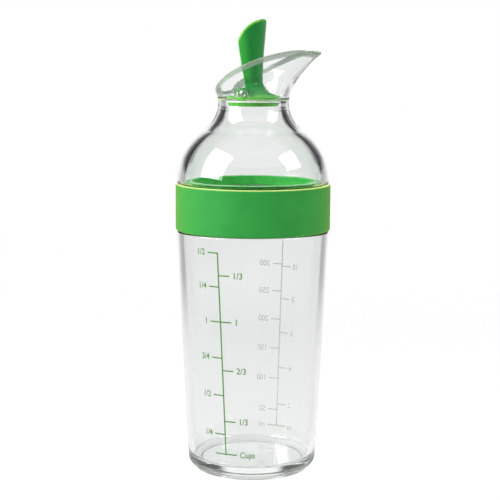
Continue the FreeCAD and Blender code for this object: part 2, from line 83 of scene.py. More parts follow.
def make_camera():
    """The photograph's camera: a level turn, a dip and a slight roll."""
    sight = AWAY * math.cos(VIEW_DIP) - UP * math.sin(VIEW_DIP)
    above = AWAY * math.sin(VIEW_DIP) + UP * math.cos(VIEW_DIP)
    right = RIGHT * math.cos(VIEW_ROLL) + above * math.sin(VIEW_ROLL)
    upward = above * math.cos(VIEW_ROLL) - RIGHT * math.sin(VIEW_ROLL)
    lens = bpy.data.cameras.new("photo_camera")
    lens.sensor_width = SENSOR
    lens.lens = SENSOR * FOCAL_PIXELS / IMAGE_WIDTH
    lens.clip_start = CLIP_START
    camera = add_object("photo_camera", lens)
    camera.location = RIGHT * CAMERA_ASIDE - AWAY * CAMERA_DISTANCE + UP * CAMERA_HEIGHT
    camera.rotation_euler = turned(right, upward, -sight)
    bpy.context.scene.camera = camera


# Part of a noise that a mottled colour runs through
MIDDLE_TONES = (0.3, 0.7)


class Flow:
    """One socket of a shader tree: sums, products and powers of flows add Math nodes."""

    def __init__(self, tree, socket=None):
        self.tree = tree
        self.socket = socket

    def node(self, kind, settings=None, inputs=None, output=0):
        """A node of any kind: its settings first, then its sockets' values or links."""
        made = self.tree.nodes.new(kind)
        for name, value in (settings or {}).items():
            setattr(made, name, value)
        for name, value in (inputs or {}).items():
            if isinstance(value, Flow):
                self.tree.links.new(value.socket, made.inputs[name])
            else:
                made.inputs[name].default_value = value
        return Flow(self.tree, made.outputs[output] if made.outputs else None)

    def math(self, operation, *values):
        """A Math node on values or flows."""
        return self.node("ShaderNodeMath", {"operation": operation}, dict(enumerate(values)))

    def vector(self, operation, *values):
        """A Vector Math node: a length or a dot product gives a number, the others a vector."""
        output = "Value" if operation in ("LENGTH", "DOT_PRODUCT") else "Vector"
        return self.node("ShaderNodeVectorMath", {"operation": operation}, dict(enumerate(values)), output)

    def __add__(self, other):
        return self.math("ADD", self, other)

    __radd__ = __add__

    def __sub__(self, other):
        return self.math("SUBTRACT", self, other)

    def __rsub__(self, other):
        return self.math("SUBTRACT", other, self)

    def __mul__(self, other):
        return self.math("MULTIPLY", self, other)

    __rmul__ = __mul__

    def __pow__(self, other):
        return self.math("POWER", self, other)

    def __abs__(self):
        return self.math("ABSOLUTE", self)

    def most(self, other):
        """The larger of two flows."""
        return self.math("MAXIMUM", self, other)

    def least(self, other):
        """The smaller of two flows."""
        return self.math("MINIMUM", self, other)

    def step(self, low, high):
        """0 below low and 1 above high, with a smooth rise between."""
        settings = {"interpolation_type": "SMOOTHSTEP"}
        return self.node("ShaderNodeMapRange", settings, {"Value": self, "From Min": low, "From Max": high})

    def span(self, low, high):
        """Number from low to high by this flow."""
        return low + (high - low) * self

    def between(self, low, high):
        """Colour from low to high by this flow."""
        return self.node("ShaderNodeMix", {"data_type": "RGBA"}, {"Factor": self, 6: low, 7: high}, 2)

    def mottle(self, low, high):
        """Colour from low to high by the middle tones of a noise."""
        return self.step(*MIDDLE_TONES).between(low, high)

    def noise(self, place, scale, detail):
        """Noise on a place, about 0 to 1."""
        return self.node("ShaderNodeTexNoise", None, {"Vector": place, "Scale": scale, "Detail": detail})

    def axis(self, name):
        """One coordinate of a place, in millimetres."""
        return self.node("ShaderNodeSeparateXYZ", None, {0: self}, name) * (1 / MM)

    def bump(self, strength, depth):
        """Surface normal pushed by this flow as a height, in millimetres."""
        sockets = {"Height": self, "Strength": strength, "Distance": depth * MM}
        return self.node("ShaderNodeBump", None, sockets)


# Colours, as the linear values that shaders take
CLEAR_TINT = (0.955, 0.965, 0.96, 1)
# Grey-green of the painted reflection along the spout's rim
RIM_REFLECTION_TINT = (0.25, 0.33, 0.24, 1)
BAND_DEEP = (0.017, 0.29, 0.047, 1)
BAND_BRIGHT = (0.022, 0.315, 0.051, 1)
BAND_EDGE_HIGHLIGHT = (0.5, 0.66, 0.22, 1)
BAND_BLOOM = (0.9131, 0.7157, 0.007, 1)
LEVER_DEEP = (0.012, 0.215, 0.042, 1)
LEVER_BRIGHT = (0.019, 0.25, 0.047, 1)
LEVER_EDGE_HIGHLIGHT = (0.045, 0.43, 0.06, 1)
LEVER_HIGHLIGHT_LIME = (0.14, 0.5, 0.045, 1)
LEVER_SHINE = (1, 1, 0.6, 1)
SEAL_PALE = (0.8388, 0.8714, 0.807, 1)
SEAL_DEEP = (0.7454, 0.7913, 0.7157, 1)
GASKET_PALE = (0.04, 0.36, 0.055, 1)
GASKET_DEEP = (0.035, 0.31, 0.05, 1)
STEEL = (0.72, 0.71, 0.69, 1)
CUP_INK = (0.07, 0.23, 0.025, 1)
CUP_INK_FAINT = (0.11, 0.3, 0.05, 1)
METRIC_INK = (0.07, 0.16, 0.05, 1)
METRIC_INK_FAINT = (0.12, 0.24, 0.1, 1)
FLOOR_GREY = (0.8, 0.8, 0.8, 1)
WHITE = (1, 1, 1, 1)

# Finishes: roughness from the smoothest to the dullest places, the part of a noise that is worn or thin,
# how deep light goes into the soft ones, and how opaque the inks are
CLEAR_IOR = 1.53
CLEAR_ROUGH = (0.002, 0.014)
CLEAR_WEAR = (0.45, 0.8)
# Roughness and share of the painted reflection along the spout's rim
RIM_ROUGH = 0.35
RIM_REFLECTION_SHARE = 0.5
BAND_ROUGH = (0.5, 0.6)
LEVER_ROUGH = (0.1, 0.16)
SEAL_ROUGH = (0.38, 0.5)
GASKET_ROUGH = (0.16, 0.28)
STEEL_ROUGH = (0.1, 0.2)
LEVER_SOFT = 1.2 * MM
SILICONE_SOFT = 0.8 * MM
INK_ROUGH = (0.4, 0.6)
INK_THIN = (0.55, 0.75)
INK_LOSS = 0.1
CUP_COVER = 0.95
METRIC_COVER = 0.26

# Rim of the spout, seen from the side: two arcs given by centre (along, up) and radius, and where they meet
RIM_BACK = (38.77, 122.35, 88.0)
RIM_FRONT = (27.42, 184.31, 25.0)
RIM_CREST = 23.0
RIM_MEET = 0.2

# Painted reflection along that rim, a grey-green tone standing in for the darker light its clear edge
# reflects: its depth and blur, and the height that it starts at
RIM_REFLECTION_BAND = 2.4
RIM_BLUR = 0.3
RIM_FOOT = 184.0
RIM_FADE = 1.0

# Painted highlight along the band's thin top edge, where its rounding catches the light: how far below its
# top the paler tone starts and is full
BAND_TOP = node_box("grip_band")[1][2]
BAND_HIGHLIGHT_FROM = 0.55
BAND_HIGHLIGHT_FULL = 0.1

# Slope of the lever's tip, seen from the side: an arc by centre and radius, and where the painted highlight
# along it fades
TIP_SLOPE = (13.747, 207.78, 19.0)
TIP_DEPTH = (0.5, 1.9)
TIP_FOOT = 211.5
TIP_FADE = 1.5

# Stopper disc under the lever, painted with half of the tip's highlight as a lighter, lit lime
DISC_TOP = 187.0
DISC_FADE = 2.0
DISC_HIGHLIGHT_SHARE = 0.5

# Half the width of the lever's petal at a height, what it gains per millimetre upwards, and the width of the
# painted highlight along its side edges
PETAL_FOOT = 193.0
PETAL_LOW = 198.0
PETAL_HALF = 7.9
PETAL_LEAN = 0.2
PETAL_HIGHLIGHT_WIDTH = 2.8


def new_material(name):
    """An empty procedural material: gives it, its flow and the place on the piece."""
    material = bpy.data.materials.new(name)
    material.use_nodes = True
    material.node_tree.nodes.clear()
    flow = Flow(material.node_tree)
    return material, flow, flow.node("ShaderNodeTexCoord", None, None, "Object")


def finish_material(flow, clear=False, over=None, **sockets):
    """Ends a material in a Principled shader with these sockets.

    Over it goes a share of another shader, if given, and a clear one lets light through to what it holds.
    """
    named = {name.replace("_", " "): value for name, value in sockets.items()}
    shader = flow.node("ShaderNodeBsdfPrincipled", None, named)
    if over:
        share, other = over
        shader = flow.node("ShaderNodeMixShader", None, {0: share, 1: shader, 2: other})
    if clear:
        shadow = flow.node("ShaderNodeLightPath", None, None, "Is Shadow Ray")
        passed = flow.node("ShaderNodeBsdfTransparent", None, {"Color": CLEAR_TINT})
        shader = flow.node("ShaderNodeMixShader", None, {0: shadow, 1: shader, 2: passed})
    flow.node("ShaderNodeOutputMaterial", None, {"Surface": shader})


def arc_depth(place, x, z, radius):
    """How far a place lies inside an arc that is drawn in the side view, in millimetres."""
    across, rise = place.axis("X") - x, place.axis("Z") - z
    return radius - (across * across + rise * rise) ** 0.5


def rim_reflection_mask(place):
    """1 in a narrow band under the two arcs of the spout's rim, where its reflection is painted, and 0 below
    it.
    """
    back, front = arc_depth(place, *RIM_BACK), arc_depth(place, *RIM_FRONT)
    past_crest = place.axis("X").step(RIM_CREST - RIM_MEET, RIM_CREST + RIM_MEET)
    depth = back + past_crest * (front - back)
    band = 1 - depth.step(RIM_REFLECTION_BAND - RIM_BLUR, RIM_REFLECTION_BAND + RIM_BLUR)
    return band * place.axis("Z").step(RIM_FOOT, RIM_FOOT + RIM_FADE)


def clear_plastic(name, painted_rim=False):
    """Clear moulded plastic: glossy, with faint cloudy patches of wear in its polish.

    The one with a painted rim also has a painted reflection along the spout's rim: a grey-green satin tone
    for the darker light that its clear edge reflects.
    """
    material, flow, place = new_material(name)
    over = None
    # Painted reflection: a share of grey-green satin along the spout's rim
    if painted_rim:
        sockets = {"Base Color": RIM_REFLECTION_TINT, "Roughness": RIM_ROUGH}
        over = RIM_REFLECTION_SHARE * rim_reflection_mask(place), flow.node("ShaderNodeBsdfPrincipled", None, sockets)
    wear = flow.noise(place, scale=60, detail=3).step(*CLEAR_WEAR)
    finish_material(
        flow, True, over, Base_Color=CLEAR_TINT, Roughness=wear.span(*CLEAR_ROUGH), IOR=CLEAR_IOR,
        Transmission_Weight=1)
    return material


def green_rubber(name):
    """Soft grip rubber: a fine matt grain, faint mottling, a yellowish bloom and a painted highlight on its
    thin top edge.
    """
    material, flow, place = new_material(name)
    grain = flow.noise(place, scale=2600, detail=2)
    body = flow.noise(place, scale=90, detail=3).mottle(BAND_DEEP, BAND_BRIGHT)
    # Painted highlight: the top edge is paler where its rounding catches the light
    edge = place.axis("Z").step(BAND_TOP - BAND_HIGHLIGHT_FROM, BAND_TOP - BAND_HIGHLIGHT_FULL)
    finish_material(
        flow, Base_Color=edge.between(body, BAND_EDGE_HIGHLIGHT), Roughness=grain.span(*BAND_ROUGH),
        Normal=grain.bump(strength=0.2, depth=0.04), Specular_IOR_Level=0.2, Sheen_Weight=0.3,
        Sheen_Roughness=0.5, Sheen_Tint=BAND_BLOOM)
    return material


def green_plastic(name):
    """Glossy moulded green plastic: a faint flow in its colour, soft waves, painted highlights on its edges
    and tip, and a painted lit tone on its disc.
    """
    material, flow, place = new_material(name)
    streak = flow.noise(place, scale=120, detail=3)
    wave = flow.noise(place, scale=45, detail=1)
    up = place.axis("Z")
    past = abs(place.axis("Y")) - PETAL_LEAN * (up - PETAL_LOW)
    # Painted highlight: the petal's side edges are paler, as where the light falls on them
    thin = past.step(PETAL_HALF - PETAL_HIGHLIGHT_WIDTH, PETAL_HALF) * up.step(PETAL_FOOT, PETAL_LOW)
    body = thin.between(streak.mottle(LEVER_DEEP, LEVER_BRIGHT), LEVER_EDGE_HIGHLIGHT)
    # Painted highlight along the rounded rim of the tip's slope, and a painted lit lime over the disc
    slope = 1 - arc_depth(place, *TIP_SLOPE).step(*TIP_DEPTH)
    tip = slope * up.step(TIP_FOOT, TIP_FOOT + TIP_FADE)
    disc = up.step(DISC_TOP, DISC_TOP + DISC_FADE).span(DISC_HIGHLIGHT_SHARE, 0)
    finish_material(
        flow, Base_Color=tip.most(disc).between(body, LEVER_HIGHLIGHT_LIME), Roughness=streak.span(*LEVER_ROUGH),
        Normal=wave.bump(strength=0.08, depth=0.3), Specular_Tint=LEVER_SHINE, Specular_IOR_Level=0.4,
        Subsurface_Weight=0.12, Subsurface_Radius=(0.4, 1.0, 0.3), Subsurface_Scale=LEVER_SOFT)
    return material


def silicone(name, pale, deep, rough):
    """Cast silicone: milky, with a cloudy body, from satin to wet by how rough it is."""
    material, flow, place = new_material(name)
    cloud = flow.noise(place, scale=300, detail=3)
    finish_material(
        flow, Base_Color=cloud.mottle(pale, deep), Roughness=cloud.span(*rough), Subsurface_Weight=0.3,
        Subsurface_Radius=(1, 1, 1), Subsurface_Scale=SILICONE_SOFT)
    return material


def pin_steel(name):
    """Polished pin steel with fine turned rings on its domed ends."""
    material, flow, place = new_material(name)
    ring = flow.node("ShaderNodeTexWave", {"wave_type": "RINGS", "rings_direction": "Y"}, {
        "Vector": place, "Scale": 900, "Distortion": 1.5}, "Fac")
    finish_material(
        flow, Base_Color=STEEL, Metallic=1, Roughness=ring.span(*STEEL_ROUGH),
        Normal=ring.bump(strength=0.08, depth=0.02))
    return material


def scale_ink(name, tint, faint, cover):
    """Printed ink: nearly even, with the small thin places of a screen print, and as opaque as its cover."""
    material, flow, place = new_material(name)
    thin = flow.noise(place, scale=1500, detail=2).step(*INK_THIN)
    finish_material(
        flow, Base_Color=thin.between(tint, faint), Roughness=thin.span(*INK_ROUGH),
        Alpha=thin.span(cover, cover - INK_LOSS))
    return material


# Share of the light that gloss sees on the camera's side and at the sides, and where each fades to the next
FRONT_SHARE = 0.14
SIDE_SHARE = 0.45
SIDE_FADE = (-0.2, 0.3)
BACK_FADE = (0.85, 0.98)

# Floor, in metres: part lit and part white near the bottle, with a painted shadow under it and painted shade
# beside it, as glass shows it
FLOOR_REACH = 6.0
FLOOR_DROP = 0.05 * MM
FLOOR_FAR = (0.15, 0.6)
FLOOR_NEAR_SHARE = 0.72
FLOOR_NEAR_GLOW = 1.09
FLOOR_GLASS_GLOW = 0.945
FLOOR_UNDER = (0.026, 0.052)
FLOOR_UNDER_SHADE = 0.36
FLOOR_BEHIND = (0.5, 0.9)
FLOOR_SIDE_SHADE = 0.13

# Room that gloss and glass see: how bright its parts are, and the heights and directions that they fade over
AMBIENT = 0.3
FLAG_LEVEL = 0.1
TOP_LEVEL = 0.75
TOP_FADE = (0.7, 0.85)
LOW_FADE = (0.02, 0.1)
BACKDROP_FADE = (math.cos(math.radians(24)), math.cos(math.radians(15)))


def light_path(flow):
    """Three shares of a ray: seen by camera, gloss or glass without a matt bounce; camera only; mirrored."""
    names = ("Is Camera Ray", "Is Glossy Ray", "Is Transmission Ray", "Diffuse Depth", "Glossy Depth")
    shares = [flow.node("ShaderNodeLightPath", None, None, name) for name in names]
    camera, glossy, through, matt, mirrors = shares
    straight = (camera + glossy + through).least(1) * (1 - matt.least(1))
    return straight, camera, mirrors.least(1)


def ahead_of(flow, place):
    """How far a direction or place lies behind the bottle: -1 on the camera's side to 1 straight behind."""
    level = flow.vector("MULTIPLY", place, (1, 1, 0))
    return flow.vector("DOT_PRODUCT", flow.vector("NORMALIZE", level), AWAY)


def room_share(ahead, mirrored):
    """Share of light that gloss sees: a dark room on the camera's side, dim sides and full light behind."""
    share = ahead.step(*SIDE_FADE).span(FRONT_SHARE, SIDE_SHARE)
    share = share + (1 - SIDE_SHARE) * ahead.step(*BACK_FADE)
    return 1 - mirrored * (1 - share)


def make_floor():
    """A wide pale floor: white far away, near the object white enough to lose all but its shadow, with
    painted shade under and beside it that glass shows.
    """
    sides = ((-1, -1), (1, -1), (1, 1), (-1, 1))
    corners = [(x * FLOOR_REACH, y * FLOOR_REACH, -FLOOR_DROP) for x, y in sides]
    mesh = bpy.data.meshes.new("floor")
    mesh.from_pydata(corners, [], [(0, 1, 2, 3)])
    floor = add_object("floor", mesh)
    material, flow, place = new_material("pale_floor")
    straight, camera, mirrored = light_path(flow)
    reach = flow.vector("LENGTH", place)
    ahead = ahead_of(flow, place)
    far = reach.step(*FLOOR_FAR)
    # Painted shadow under the bottle and painted shade beside it, only for rays that come through the glass
    under = 1 - reach.step(*FLOOR_UNDER)
    beside = 1 - ahead.step(*FLOOR_BEHIND)
    through = FLOOR_GLASS_GLOW - (FLOOR_UNDER_SHADE * under + FLOOR_SIDE_SHADE * beside)
    near = FLOOR_NEAR_GLOW * camera + through * (1 - camera)
    glow = (near + (1 - near) * far) * room_share(ahead, mirrored * far)
    lit = flow.node("ShaderNodeBsdfDiffuse", None, {"Color": FLOOR_GREY})
    light = flow.node("ShaderNodeEmission", None, {"Color": WHITE, "Strength": glow})
    share = straight * far.span(FLOOR_NEAR_SHARE, 1)
    both = flow.node("ShaderNodeMixShader", None, {0: share, 1: lit, 2: light})
    flow.node("ShaderNodeOutputMaterial", None, {"Surface": both})
    mesh.materials.append(material)


def make_world():
    """White where the camera looks; gloss and glass see a white backdrop, a bright top and dark flags."""
    world = bpy.data.worlds.new("studio")
    world.use_nodes = True
    world.node_tree.nodes.clear()
    flow = Flow(world.node_tree)
    straight, camera, mirrored = light_path(flow)
    direction = flow.node("ShaderNodeTexCoord", None, None, "Generated")
    height = flow.node("ShaderNodeSeparateXYZ", None, {0: direction}, "Z")
    ahead = ahead_of(flow, direction)
    backdrop = ahead.step(*BACKDROP_FADE)
    low = 1 - height.step(*LOW_FADE)
    top = TOP_LEVEL * height.step(*TOP_FADE)
    shown = backdrop.most(low).most(top).span(FLAG_LEVEL, 1)
    around = shown * room_share(ahead, mirrored)
    strength = camera + (1 - camera) * (straight * around + (1 - straight) * AMBIENT)
    light = flow.node("ShaderNodeBackground", None, {"Color": WHITE, "Strength": strength})
    flow.node("ShaderNodeOutputWorld", None, {"Surface": light})
    bpy.context.scene.world = world


# Soft boxes: turned from the camera's side (right is plus) and lifted, in degrees; metres and watts
SoftBox = namedtuple("SoftBox", "name turn lift width height power")
SOFT_BOXES = (
    SoftBox("key_box", -68, 29, 0.57, 0.68, 11),
    SoftBox("fill_box", 71, 35, 0.36, 0.4, 4.5))
LIGHT_DISTANCE = 0.9
LIGHT_AIM = Vector((0, 0, 0.15))


def soft_box(box):
    """A soft box that looks at the bottle from its turn and lift."""
    turn, lift = math.radians(box.turn), math.radians(box.lift)
    level = RIGHT * math.sin(turn) - AWAY * math.cos(turn)
    back = level * math.cos(lift) + UP * math.sin(lift)
    right = UP.cross(level)
    light = bpy.data.lights.new(box.name, "AREA")
    light.shape = "RECTANGLE"
    light.size = box.width
    light.size_y = box.height
    light.energy = box.power
    lamp = add_object(box.name, light)
    lamp.location = LIGHT_AIM + back * LIGHT_DISTANCE
    lamp.rotation_euler = turned(right, back.cross(right), back)
    lamp.visible_camera = False


# Steps of the meshes, in millimetres along a profile and in columns round it
ROW_GAP = 3.0
FINE_GAP = 0.3
EDGE_GAP = 0.35
ARC_STEP = math.radians(7)
RING_COLUMNS = 216
PIN_COLUMNS = 64

Move = namedtuple("Move", "r z bend gap", defaults=(0, ROW_GAP))


def trace(start, moves):
    """Profile of straight runs and arcs: a bend is an arc's radius, plus where it turns left, minus right."""
    here = np.array(start, float)
    points = [here[None]]
    for move in moves:
        there = np.array([move.r, move.z], float)
        chord = there - here
        length = np.hypot(*chord)
        if move.bend:
            half = np.arcsin(min(length / 2 / abs(move.bend), 1))
            side = np.array([-chord[1], chord[0]]) / length * np.sign(move.bend)
            centre = (here + there) / 2 + side * abs(move.bend) * np.cos(half)
            first = np.arctan2(here[1] - centre[1], here[0] - centre[0])
            steps = max(math.ceil(2 * half / ARC_STEP), 2)
            angles = first + np.sign(move.bend) * 2 * half * np.arange(1, steps + 1) / steps
            points.append(centre + abs(move.bend) * np.stack([np.cos(angles), np.sin(angles)], 1))
        else:
            edge = min(EDGE_GAP, length / 4)
            steps = max(math.ceil(length / move.gap), 1)
            along = np.concatenate([[edge], np.linspace(edge, length - edge, steps + 1)[1:], [length]])
            points.append(here + chord / length * along[:, None])
        here = there
    return np.concatenate(points)


def spread(profile, columns):
    """Grids of a profile's radii and places along its axis, and the even turns of their columns."""
    radius, along = np.repeat(profile.T[:, :, None], columns, axis=2)
    return radius, along, 2 * np.pi * np.arange(columns) / columns


def round_axis(radius, along, turn):
    """Points of a turned surface: radius times cosine, radius times sine, and the place along the axis."""
    return np.stack([radius * np.cos(turn), radius * np.sin(turn), along], -1).reshape(-1, 3)


def ring_faces(rows, columns, closed=False):
    """Quads of a grid of closed rings; a closed grid also joins its last ring to its first."""
    row, column = np.meshgrid(np.arange(rows if closed else rows - 1), np.arange(columns), indexing="ij")
    here, above = row * columns, (row + 1) % rows * columns
    after = (column + 1) % columns
    quads = np.stack([here + column, here + after, above + after, above + column], -1)
    return quads.reshape(-1, 4).tolist()


def pole_faces(rows, columns):
    """Triangles that close a grid of rings at two poles, which are the two vertices after the grid."""
    last = (rows - 1) * columns
    column = np.arange(columns)
    after = (column + 1) % columns
    pole = np.full_like(column, rows * columns)
    first = np.stack([pole, after, column], 1)
    final = np.stack([last + column, last + after, pole + 1], 1)
    return first.tolist() + final.tolist()


def close_poles(rings, profile, columns):
    """Points and faces of the rings of a profile, closed by its two ends, which lie on the axis."""
    poles = [[0, 0, profile[0, 1]], [0, 0, profile[-1, 1]]]
    rows = len(profile) - 2
    return np.concatenate([rings, poles]), ring_faces(rows, columns) + pole_faces(rows, columns)


def mesh_piece(name, points, faces, material):
    """A smooth mesh object from points in millimetres and faces."""
    mesh = bpy.data.meshes.new(name)
    mesh.from_pydata(points * MM, [], faces)
    mesh.shade_smooth()
    mesh.materials.append(material)
    return add_object(name, mesh)


# Bottle, in millimetres: its greatest radius and its mouth come from the frame
SHOULDER_RADIUS, _, MOUTH_HEIGHT = node_box("bottle")[1]
FOOT_RADIUS = 28.8
FOOT_HEIGHT = 1.2
FOOT_EDGE = 0.6
RECESS_RADIUS = 26.0
RECESS_DEPTH = 0.8
BASE_RADIUS = 32.2
BASE_HEIGHT = 5.8
BASE_ROUND = 4.6
SHOULDER_HEIGHT = 119.95
SHOULDER_ROUND = 0.8
TUCK_RADIUS = 36.2
TUCK_TOP = 123.2
TUCK_ROUND = 0.5
BOTTLE_WALL = 3.0
BOTTOM_HEIGHT = 6.2
BOTTOM_ROUND = 2.6
PLATE_HEIGHT = 121.0
PLATE_ROUND = 1.2
NECK_RADIUS = 32.9
NECK_WALL = 2.5
NECK_TOLERANCE = 0.01
MOUTH_ROUND = 0.5

# Screw thread of the neck, three starts
THREAD_STARTS = 3
THREAD_LEAD = 12.0
THREAD_HEIGHT = 0.9
THREAD_WIDTH = 1.5
THREAD_FLANK = 0.5
THREAD_FROM = 124.5
THREAD_TO = 138.5


def bottle_profile():
    """The bottle's section from the axis under the foot, up outside, over the mouth and down inside."""
    inner_neck = NECK_RADIUS - NECK_WALL
    inner_top = SHOULDER_RADIUS - BOTTLE_WALL
    inner_low = BASE_RADIUS - BOTTLE_WALL
    shoulder_top = SHOULDER_HEIGHT + SHOULDER_ROUND
    return trace((0, RECESS_DEPTH), [
        Move(RECESS_RADIUS - RECESS_DEPTH, RECESS_DEPTH),
        Move(RECESS_RADIUS, 0, 2 * RECESS_DEPTH),
        Move(FOOT_RADIUS - FOOT_EDGE, 0),
        Move(FOOT_RADIUS, FOOT_EDGE, FOOT_EDGE),
        Move(FOOT_RADIUS, FOOT_HEIGHT),
        Move(BASE_RADIUS, BASE_HEIGHT, BASE_ROUND),
        Move(SHOULDER_RADIUS, SHOULDER_HEIGHT),
        Move(SHOULDER_RADIUS - SHOULDER_ROUND, shoulder_top, SHOULDER_ROUND),
        Move(TUCK_RADIUS, shoulder_top),
        Move(TUCK_RADIUS, TUCK_TOP - TUCK_ROUND),
        Move(TUCK_RADIUS - TUCK_ROUND, TUCK_TOP, TUCK_ROUND),
        Move(NECK_RADIUS, TUCK_TOP),
        Move(NECK_RADIUS, MOUTH_HEIGHT - MOUTH_ROUND, 0, FINE_GAP),
        Move(NECK_RADIUS - MOUTH_ROUND, MOUTH_HEIGHT, MOUTH_ROUND),
        Move(inner_neck + MOUTH_ROUND, MOUTH_HEIGHT),
        Move(inner_neck, MOUTH_HEIGHT - MOUTH_ROUND, MOUTH_ROUND),
        Move(inner_neck, PLATE_HEIGHT + PLATE_ROUND),
        Move(inner_neck + PLATE_ROUND, PLATE_HEIGHT, PLATE_ROUND),
        Move(inner_top - PLATE_ROUND, PLATE_HEIGHT),
        Move(inner_top, PLATE_HEIGHT - PLATE_ROUND, -PLATE_ROUND),
        Move(inner_low, BOTTOM_HEIGHT + BOTTOM_ROUND),
        Move(inner_low - BOTTOM_ROUND, BOTTOM_HEIGHT, -BOTTOM_ROUND),
        Move(0, BOTTOM_HEIGHT)])


def smooth_step(value, low, high):
    """0 below low and 1 above high, with a smooth rise between."""
    share = np.clip((value - low) / (high - low), 0, 1)
    return share * share * (3 - 2 * share)


def thread_rise(turn, z):
    """Height of the screw thread at a turn and height: ridges that climb one lead each full turn."""
    pitch = THREAD_LEAD / THREAD_STARTS
    phase = (z - THREAD_FROM) - THREAD_LEAD * turn / (2 * np.pi)
    across = np.abs((phase + pitch / 2) % pitch - pitch / 2)
    ridge = 1 - smooth_step(across, THREAD_WIDTH / 2 - THREAD_FLANK, THREAD_WIDTH / 2 + THREAD_FLANK)
    start = smooth_step(z, THREAD_FROM, THREAD_FROM + THREAD_WIDTH)
    end = smooth_step(z, THREAD_TO - THREAD_WIDTH, THREAD_TO)
    return THREAD_HEIGHT * ridge * start * (1 - end)


def make_bottle(material):
    """The bottle turned from its section: the radius of each profile point, plus the thread on the neck."""
    profile = bottle_profile()
    radius, height, turn = spread(profile[1:-1], RING_COLUMNS)
    on_neck = (np.abs(radius - NECK_RADIUS) < NECK_TOLERANCE) & (height > TUCK_TOP)
    radius = radius + np.where(on_neck, thread_rise(turn, height), 0)
    points, faces = close_poles(round_axis(radius, height, turn), profile, RING_COLUMNS)
    bottle = mesh_piece("clear_beaker", points, faces, material)
    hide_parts("bottle")
    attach(bottle, "bottle")


# Pivot pin along Y, in millimetres: it keeps a little inside the frame's pin
PIN_LOW, PIN_HIGH = node_box("pivot_pin")
PIN_RADIUS = PIN_HIGH[0]
PIN_HEIGHT = (PIN_LOW[2] + PIN_HIGH[2]) / 2
PIN_INSET = 0.05
PIN_REACH = PIN_HIGH[1] - PIN_INSET
PIN_DOME = 0.75


def make_pin(material):
    """The pin turned about its own axis: a straight bar, with ends that follow a flat sphere to a point."""
    bulge = (PIN_RADIUS ** 2 + PIN_DOME ** 2) / (2 * PIN_DOME)
    shank = PIN_REACH - PIN_DOME
    profile = trace((0, -PIN_REACH), [
        Move(PIN_RADIUS, -shank, bulge),
        Move(PIN_RADIUS, shank),
        Move(0, PIN_REACH, bulge)])
    rings = round_axis(*spread(profile[1:-1], PIN_COLUMNS))
    points, faces = close_poles(rings, profile, PIN_COLUMNS)
    lying = points[:, [1, 2, 0]] + (0, 0, PIN_HEIGHT)
    pin = mesh_piece("polished_pin", lying, faces, material)
    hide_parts("pivot_pin")
    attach(pin, "lid")


# Gasket that grips the ledge inside the lid, in millimetres: its flat ring keeps a little inside the frame's
GASKET_LOW, GASKET_HIGH = node_box("lid_gasket")
GASKET_BOTTOM = GASKET_LOW[2]
GASKET_TOP = GASKET_HIGH[2]
GASKET_INSET = 0.1
GASKET_RADIUS = GASKET_HIGH[0] - GASKET_INSET
GASKET_BORE = 30.2
GASKET_SLOT = 30.95
GASKET_ROUND = 0.3
LEDGE_HEIGHT = 2.5
LIP_LOW = GASKET_TOP + LEDGE_HEIGHT
LIP_DEPTH = 0.35
LIP_HIGH = LIP_LOW + LIP_DEPTH
LIP_RADIUS = 33.75


def make_gasket(material):
    """The gasket turned from a closed section: a flat ring on the mouth, a collar in the ledge and a lip."""
    profile = trace((GASKET_BORE + GASKET_ROUND, GASKET_BOTTOM), [
        Move(GASKET_RADIUS, GASKET_BOTTOM),
        Move(GASKET_RADIUS, GASKET_TOP),
        Move(GASKET_SLOT, GASKET_TOP),
        Move(GASKET_SLOT, LIP_LOW),
        Move(LIP_RADIUS, LIP_LOW),
        Move(LIP_RADIUS - GASKET_ROUND, LIP_HIGH, 2 * GASKET_ROUND),
        Move(GASKET_BORE + GASKET_ROUND, LIP_HIGH),
        Move(GASKET_BORE, LIP_HIGH - GASKET_ROUND, GASKET_ROUND),
        Move(GASKET_BORE, GASKET_BOTTOM + GASKET_ROUND),
        Move(GASKET_BORE + GASKET_ROUND, GASKET_BOTTOM, GASKET_ROUND)])[:-1]
    points = round_axis(*spread(profile, RING_COLUMNS))
    faces = ring_faces(len(profile), RING_COLUMNS, True)
    gasket = mesh_piece("ledge_gasket", points, faces, material)
    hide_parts("lid_gasket")
    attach(gasket, "gasket")


# Volumes from mark to mark, in cubic millimetres
CUP = 236588.0
QUARTER_CUP = CUP / 4
THIRD_CUP = CUP / 3
FIFTY_MILLILITRES = 50000.0
TWO_OUNCES = 59148.0

# Cone that fits the printed marks: radius at height 0, its gain per millimetre, and where liquid starts
FILL_RADIUS = 29.7
FILL_LEAN = 0.039
FILL_START = 3.0

# Ink, in millimetres, and the degrees that one of them takes round the bottle, a little above its middle
INK_LOW = 0.01
INK_HIGH = 0.05
LINE_WIDTH = 0.7
TICK_WIDTH = 0.6
TICK_LENGTH = 5.6
BAR_STEPS = 9
LABEL_GAP = 1.5
LABEL_SIZE = 4.3
LABEL_SQUEEZE = 0.9
LABEL_WEIGHT = 0.05
LABEL_STEPS = 4
WELD_DIGITS = 5
PRINT_RADIUS = 35.5
TURN_PER_MM = math.degrees(1 / PRINT_RADIUS)

# Top and foot of each scale's line, in degrees from +X and millimetres up, and the numbers beside it
FRONT_LINE = ((-94.8, 113.7), (-90.7, 13.6))
REAR_LINE = ((85.0, 110.5), (86.2, 12.7))
REAR_RAISE = 0.6
QUARTERS = ("1/4", "1/2", "3/4", "1", "1/4", "1/2")
THIRDS = ("1/3", "2/3", "1", "1/3")
MILLILITRES = ("50", "100", "150", "200", "250", "300")
OUNCES = ("2", "4", "6", "8", "10")


